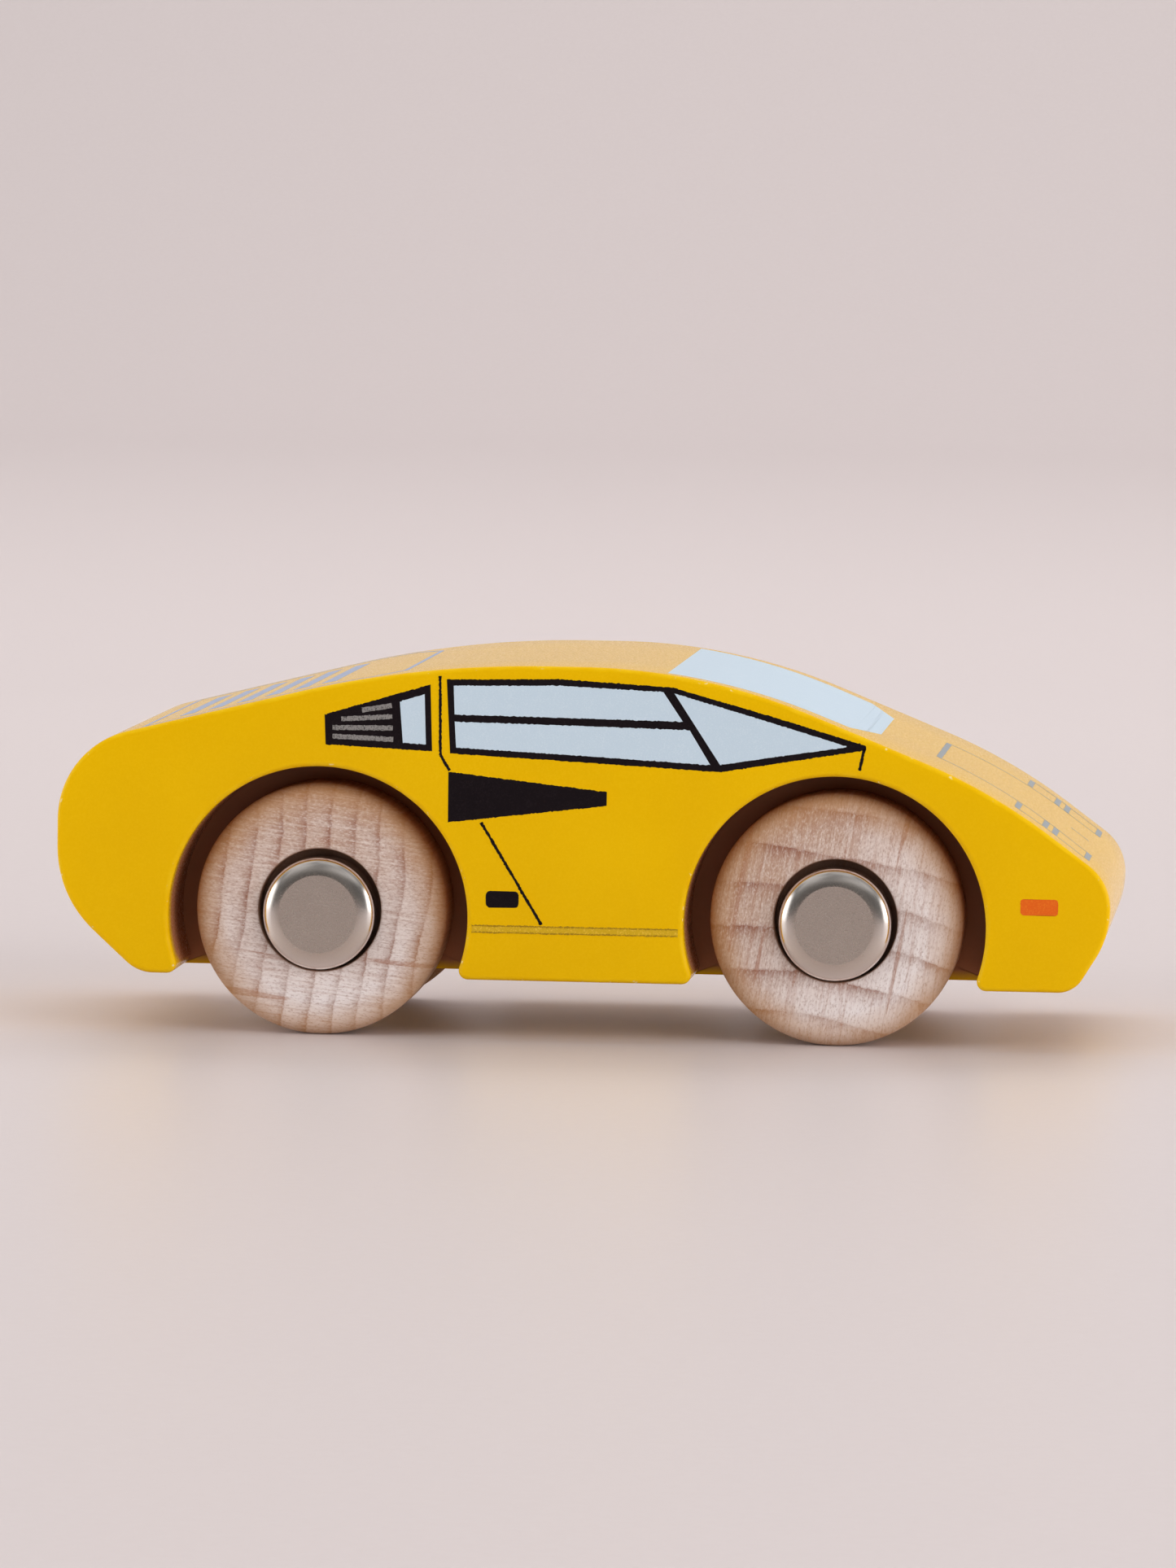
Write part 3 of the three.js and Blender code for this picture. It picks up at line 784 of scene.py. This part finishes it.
# Grain of each wheel: turn of the rings, their width, their bow, the place in the dowel, and the
# direction of the warmer, darker side, partly heartwood and partly painted shade
GRAIN = {
    "front_right_wheel": (np.radians(80), 0.0036, 9.0, 0.31, (-0.90, 0, 0.80)),
    "rear_right_wheel": (np.radians(-7), 0.0022, 3.0, 0.77, (-0.10, 0, 0.90)),
    "front_left_wheel": (np.radians(35), 0.0027, 5.0, 0.12, (0.80, 0, 0.60)),
    "rear_left_wheel": (np.radians(118), 0.0031, -5.0, 0.55, (0.30, 0, -0.95)),
}
wheel_shape = wheel_profile()
for wheel, (turn, ring, bow, shift, heart_and_shade_side) in GRAIN.items():
    low, high = box_mm(wheel)
    middle = (low + high) / 2
    hand = np.sign(middle[1])
    wood = beech(f"{wheel}_beech", tuple(middle * MM), turn, ring, bow, shift, heart_and_shade_side)
    grid = turned(wheel_shape, middle[0], middle[2], hand, WHEEL_SIDES)
    # Painted shade: the counterbore and bore are marked to turn dark brown.
    counterbore_shaded = wheel_shape[:, 0] < cap_radius + CAP_GAP + COUNTERBORE_LIP / 4
    marks = [np.repeat(counterbore_shaded.astype(float), WHEEL_SIDES)]
    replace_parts(piece(f"{wheel}_turned", grid, wood, wheel, marks), wheel)


# Hub caps
# Domed cups drawn from sheet steel and nickel plated, with a flat satin face, a polished round edge
# and a rim curled in under the push nut. They turn with the axle.

CAP_WALL = 0.45
CAP_FLAT_RADIUS = 3.42
CAP_EDGE_HEIGHT = 1.15
CAP_CREASE = np.radians(18)  # the edge's ellipse stops this far short of its top
CAP_CREASE_SOFT = 0.05
CAP_LIP_REACH = 0.9
CAP_SIDES = 96
NICKEL_DARK = (0.560, 0.482, 0.422)
NICKEL_LIGHT = (0.612, 0.532, 0.468)
# Painted highlight: the lighter nickel of the round edge.
NICKEL_EDGE_HIGHLIGHT = (0.860, 0.810, 0.770)
NICKEL_RELIEF = 0.000004


def nickel():
    """Plated steel: a face dulled by fine handling marks, a glossier polished edge in a lighter colour
    that is painted highlight.
    """
    material, tree, shader = finish("nickel_plate", NICKEL_LIGHT, 0.2, 1.0)
    place = stretched(tree, (1, 1, 1))
    on_face = add(tree, "Attribute", attribute_name="mark").outputs["Fac"]
    grit = noise(tree, place, 6200, 3, 0.65)
    haze = noise(tree, place, 420, 3)
    dull = remap(tree, grit, 0.3, 0.7, 0.23, 0.29)
    bright = remap(tree, haze, 0.3, 0.7, 0.14, 0.21)
    tree.links.new(weigh(tree, on_face, dull, bright), shader.inputs["Roughness"])
    tone = remap(tree, weigh(tree, 0.65, grit, haze), 0.35, 0.65)
    colour = blend(tree, tone, (*NICKEL_DARK, 1), (*NICKEL_LIGHT, 1))
    # Painted highlight: the round edge gets a lighter nickel than the face.
    colour = blend(tree, on_face, (*NICKEL_EDGE_HIGHLIGHT, 1), colour)
    tree.links.new(colour, shader.inputs["Base Color"])
    bump(tree, shader, calc(tree, "MULTIPLY", grit, on_face), NICKEL_RELIEF)
    return material


def cap_profile(rim, top):
    """Cup in section, from the axis inside, down the inner wall, round the rim and up to the axis."""
    inner = cap_radius - CAP_WALL
    width = (cap_radius - CAP_FLAT_RADIUS) / (1 - np.sin(CAP_CREASE))
    edge = np.array([width, CAP_EDGE_HEIGHT])
    middle = (cap_radius - width, top - CAP_EDGE_HEIGHT * np.cos(CAP_CREASE))
    quarter = np.pi / 2
    lean = quarter - CAP_CREASE
    face = np.append(CAP_FLAT_RADIUS - CAP_CREASE_SOFT, np.linspace(CAP_FLAT_RADIUS, 0, 8)[1:])
    return np.concatenate([
        [(0, top - CAP_WALL)],
        arc(middle, edge - CAP_WALL, lean, 0, 10),
        [(inner, rim + CAP_WALL), (inner - CAP_LIP_REACH, rim + CAP_WALL), (inner - CAP_LIP_REACH, rim)],
        arc((inner, rim + CAP_WALL), CAP_WALL, -quarter, 0, 8),
        arc(middle, edge, 0, lean, 20),
        np.stack([face, np.full(len(face), top)], axis=1),
    ])


plate = nickel()
for cap in [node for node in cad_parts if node.endswith("_hub_cap")]:
    low, high = box_mm(cap)
    middle = (low + high) / 2
    hand = np.sign(middle[1])
    rim, top = sorted(np.abs([low[1], high[1]]))
    section = cap_profile(rim, top)
    grid = turned(section, middle[0], middle[2], hand, CAP_SIDES)
    # The mark runs from edge to face: painted highlight colour and gloss at the edge, duller face.
    fade = np.clip((cap_radius - section[:, 0]) / (cap_radius - CAP_FLAT_RADIUS), 0, 1)
    dulled = np.where(section[:, 1] > top - CAP_EDGE_HEIGHT, fade, 0)
    marks = [np.repeat(dulled, CAP_SIDES)]
    axle_set = cap.split("_")[0] + "_axle_set"
    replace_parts(piece(f"{cap}_plated", grid, plate, axle_set, marks), cap)


# Stage
# A pale sheet that runs back and curves up behind the car, lit by large soft lamps above and to
# both sides, in a dim room with a window at either hand that the caps' edges mirror.

FLOOR_FRONT, FLOOR_BACK = -1.2, 1.25
SWEEP_RADIUS = 0.5
WALL_TOP = 1.8
FLOOR_HALF = 2.2
CARD_DARK = (0.685, 0.605, 0.597)
CARD_LIGHT = (0.715, 0.640, 0.634)
CARD_ROUGHNESS = 0.40


def sweep_sheet():
    """Floor, quarter-round sweep and wall as one strip, carried along X."""
    turn = np.linspace(0, np.pi / 2, 24)
    bend = np.stack([FLOOR_BACK + SWEEP_RADIUS * np.sin(turn), SWEEP_RADIUS * (1 - np.cos(turn))], axis=1)
    strip = np.concatenate([[(FLOOR_FRONT, 0)], bend, [(FLOOR_BACK + SWEEP_RADIUS, WALL_TOP)]])
    ends = [np.column_stack([np.full(len(strip), x), strip]) for x in (-FLOOR_HALF, FLOOR_HALF)]
    return np.stack(ends)


def pale_sheet():
    """Warm grey card with a soft sheen and a faint mottle."""
    material, tree, shader = finish("pale_sheet", CARD_LIGHT, CARD_ROUGHNESS)
    mottle = noise(tree, stretched(tree, (1, 1, 1)), 900, 4, 0.6)
    colour = blend(tree, mottle, (*CARD_DARK, 1), (*CARD_LIGHT, 1))
    tree.links.new(colour, shader.inputs["Base Color"])
    return material


sheet_grid = sweep_sheet()
sheet_mesh = bpy.data.meshes.new("sheet")
sheet_mesh.from_pydata(sheet_grid.reshape(-1, 3).tolist(), [], quads(*sheet_grid.shape[:2]).tolist())
sheet_mesh.polygons.foreach_set("use_smooth", [True] * len(sheet_mesh.polygons))
sheet_mesh.materials.append(pale_sheet())
sheet = bpy.data.objects.new("sheet", sheet_mesh)
bpy.context.scene.collection.objects.link(sheet)


def lamp(name, place, aim, size, power):
    """A square soft lamp at a place, turned to face a point. Gloss mirrors the room and not the lamp,
    so that no side of the car glares."""
    light = bpy.data.lights.new(name, "AREA")
    light.size = size
    light.energy = power
    thing = bpy.data.objects.new(name, light)
    back = unit(np.subtract(place, aim))
    right = unit(np.cross((0, 0, 1), back))
    turn = np.eye(4)
    turn[:3, :3] = np.stack([right, np.cross(back, right), back], axis=1)
    turn[:3, 3] = place
    thing.matrix_world = turn.T.tolist()
    thing.visible_glossy = False
    bpy.context.scene.collection.objects.link(thing)


lamp("top_lamp", (0.0, 0.28, 0.72), (0, 0, 0), 1.0, 2.35)
lamp("right_lamp", (0.85, -0.65, 0.35), (0, 0, 0.03), 0.7, 5.85)
lamp("left_lamp", (-0.85, -0.65, 0.35), (0, 0, 0.03), 0.7, 3.6)
lamp("back_lamp", (0.0, 1.1, 1.2), (0, 1.45, 0.05), 1.2, 7.1)

ROOM_GREYS = ((0.0, 0.12), (0.50, 0.12), (0.70, 0.14), (0.80, 0.41), (1.0, 0.47))
WINDOW_GLOW = 2.6
WINDOW_SIDE = (0.78, 0.90)
WINDOW_SILL = (-0.05, 0.05)
WINDOW_HEAD = (0.50, 0.36)
room = bpy.data.worlds.new("room")
room.use_nodes = True
sky = room.node_tree
bearing = add(sky, "TexCoord").outputs["Generated"]
sideways, _, rise = add(sky, "SeparateXYZ", {0: bearing}).outputs
shade = add(sky, "ValToRGB", {"Fac": remap(sky, rise, -1.0, 1.0)})
greys = shade.color_ramp.elements
for at, grey in ROOM_GREYS[1:-1]:
    greys.new(at)
for stop, (at, grey) in zip(greys, ROOM_GREYS):
    stop.color = (grey, grey, grey, 1)
clutter = remap(sky, noise(sky, bearing, 3.2, 3), 0.35, 0.65, 0.55, 1.45)
uneven = add(sky, "VectorMath", {0: shade.outputs[0], 3: clutter}, operation="SCALE").outputs[0]
pane_width = remap(sky, calc(sky, "ABSOLUTE", sideways), *WINDOW_SIDE)
pane_height = calc(sky, "MULTIPLY", remap(sky, rise, *WINDOW_SILL), remap(sky, rise, *WINDOW_HEAD))
pane_glow = calc(sky, "MULTIPLY", calc(sky, "MULTIPLY", pane_width, pane_height), WINDOW_GLOW)
lit = add(sky, "VectorMath", {0: uneven, 1: pane_glow}, operation="ADD").outputs[0]
sky.links.new(lit, sky.nodes["Background"].inputs["Color"])
bpy.context.scene.world = room
bpy.context.scene.view_settings.view_transform = "Standard"


# Camera
# Close to the floor and a long way off, a little ahead of the car's middle, and tilted by less than a
# degree, as the car was photographed.

IMAGE_HEIGHT_PX = 1927
FOCAL_PX = 10501
SENSOR = 36.0
CAMERA_DISTANCE = 739.2
CAMERA_TURN = 0.09654
CAMERA_RISE = 0.07860
CAMERA_ROLL = 0.01263
AIM_ALONG, AIM_HEIGHT = 0.56, 22.63
camera_aim = np.array([AIM_ALONG, -body_high[1], AIM_HEIGHT])
camera_back = np.array([
    np.sin(CAMERA_TURN) * np.cos(CAMERA_RISE),
    -np.cos(CAMERA_TURN) * np.cos(CAMERA_RISE),
    np.sin(CAMERA_RISE),
])
level = np.array([np.cos(CAMERA_TURN), np.sin(CAMERA_TURN), 0])
upright = np.cross(camera_back, level)
camera_right = np.cos(CAMERA_ROLL) * level + np.sin(CAMERA_ROLL) * upright
camera_up = np.cross(camera_back, camera_right)
lens = bpy.data.cameras.new("camera")
lens.sensor_fit = "VERTICAL"
lens.sensor_height = SENSOR
lens.lens = FOCAL_PX * SENSOR / IMAGE_HEIGHT_PX
camera = bpy.data.objects.new("camera", lens)
stand = np.eye(4)
stand[:3, :3] = np.stack([camera_right, camera_up, camera_back], axis=1)
stand[:3, 3] = (camera_aim + camera_back * CAMERA_DISTANCE) * MM
camera.matrix_world = stand.T.tolist()
bpy.context.scene.collection.objects.link(camera)
bpy.context.scene.camera = camera
